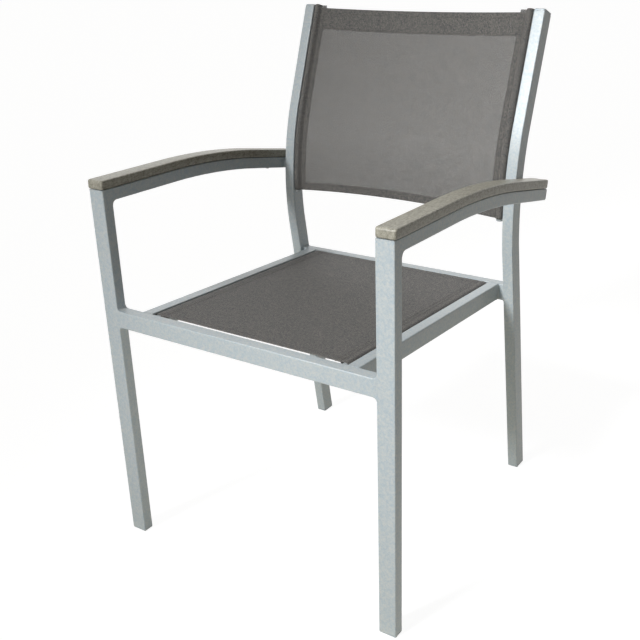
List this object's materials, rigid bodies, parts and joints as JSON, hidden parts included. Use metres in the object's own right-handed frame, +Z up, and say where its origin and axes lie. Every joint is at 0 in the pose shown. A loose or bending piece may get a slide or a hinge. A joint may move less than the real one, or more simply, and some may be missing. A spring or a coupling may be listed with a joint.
{
  "type": "sling patio armchair",
  "caption": "Outdoor armchair with a rectangular-tube metal frame, stretched fabric seat and back, and slat armrests that drop towards the back.",
  "frame": {"origin": "on the floor, under the middle of the chair's width and depth", "axes": "+Z up, +X to the right seen from the front, -Y towards where the sitter looks"},
  "size_m": [0.56, 0.5902, 0.8716],
  "materials": {
    "frame": "satin silver powder coat",
    "rods": "satin powder coat",
    "slat": "brushed wood-look, olive brown",
    "sling": "woven coated mesh, warm dark grey",
    "black_plastic": "matte",
    "grey_plastic": "matte, coloured like the frame",
    "screws": "plain"
  },
  "bodies": {
    "root": {"front_seat_rail": "frame", "rear_seat_rail": "frame", "seat_sling": "sling", "back_sling": "sling", "front_leg_left": "frame", "arm_tube_left": "frame", "armrest_left": "slat", "armrest_screw_left_1": "screws", "armrest_screw_left_2": "screws", "armrest_screw_left_3": "screws", "arm_end_plug_left": "black_plastic", "back_post_left": "frame", "post_cap_left": "frame", "arm_spacer_left": "frame", "seat_side_rail_left": "frame", "seat_sling_rod_left": "rods", "back_sling_rod_left": "rods", "front_glide_left": "grey_plastic", "rear_glide_left": "grey_plastic", "front_leg_right": "frame", "arm_tube_right": "frame", "armrest_right": "slat", "armrest_screw_right_1": "screws", "armrest_screw_right_2": "screws", "armrest_screw_right_3": "screws", "arm_end_plug_right": "black_plastic", "back_post_right": "frame", "post_cap_right": "frame", "arm_spacer_right": "frame", "seat_side_rail_right": "frame", "seat_sling_rod_right": "rods", "back_sling_rod_right": "rods", "front_glide_right": "grey_plastic", "rear_glide_right": "grey_plastic"}
  },
  "joints": []
}
